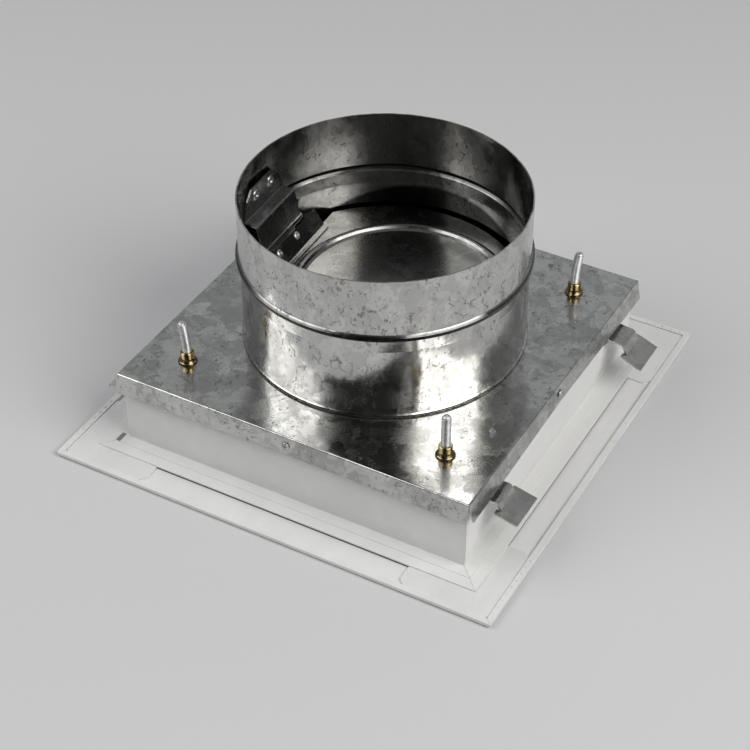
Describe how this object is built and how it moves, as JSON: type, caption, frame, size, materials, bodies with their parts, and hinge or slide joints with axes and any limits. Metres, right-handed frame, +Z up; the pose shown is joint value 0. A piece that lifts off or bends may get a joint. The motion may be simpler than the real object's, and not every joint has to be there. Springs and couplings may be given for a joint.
{
  "type": "ceiling air diffuser",
  "caption": "Square ceiling air diffuser: white mitred frame, galvanised back plate with a round duct spigot, flap damper, screw-hung face panel and bent ceiling tabs.",
  "frame": {"origin": "centre of the room face, in the face plane", "axes": "+Z up from the face through the duct spigot, +X away from the damper hinge, +Y along a frame rail"},
  "size_m": [0.25, 0.25, 0.1302],
  "materials": {
    "frame_paint": "satin white powder coat",
    "key_paint": "satin white powder coat, thinner on the edges",
    "panel_paint": "satin white powder coat",
    "galvanised_plate": "galvanised, flat spangle",
    "galvanised_spigot": "galvanised, bright spangle",
    "galvanised_damper": "galvanised, bright",
    "galvanised_tab": "galvanised, dull",
    "zinc_screw": "bright zinc plated thread",
    "yellow_nut": "yellow zinc plated",
    "steel_rivet": "plain bright steel"
  },
  "bodies": {
    "housing": {"rail_right": "frame_paint", "rail_back": "frame_paint", "rail_left": "frame_paint", "rail_front": "frame_paint", "corner_key_a": "key_paint", "corner_key_b": "key_paint", "corner_key_c": "key_paint", "corner_key_d": "key_paint", "back_plate": "galvanised_plate", "spigot": "galvanised_spigot", "lip_rivets": "steel_rivet", "rivet_nuts": "yellow_nut", "tab_right_back": "galvanised_tab", "tab_right_front": "galvanised_tab", "tab_left_front": "galvanised_tab", "tab_left_back": "galvanised_tab", "hinge_bracket": "galvanised_damper", "bracket_rivets": "steel_rivet", "hinge_pin": "steel_rivet"},
    "panel": {"face_panel": "panel_paint", "panel_screws": "zinc_screw", "screw_retainers": "steel_rivet"},
    "damper": {"hinge_strap": "galvanised_damper", "damper_leaf": "galvanised_damper", "leaf_rivets": "steel_rivet", "damper_blade": "galvanised_damper"}
  },
  "joints": [
    {"name": "damper_hinge", "type": "hinge", "parent": "housing", "child": "damper", "pos_m": [-0.06097, -0.00202, 0.0848], "axis": [0.0332, -0.9995, 0], "range_deg": [-10, 45]},
    {"name": "panel_slide", "type": "slide", "parent": "housing", "child": "panel", "axis": [0, 0, -1], "range_m": [0, 0.012]}
  ]
}
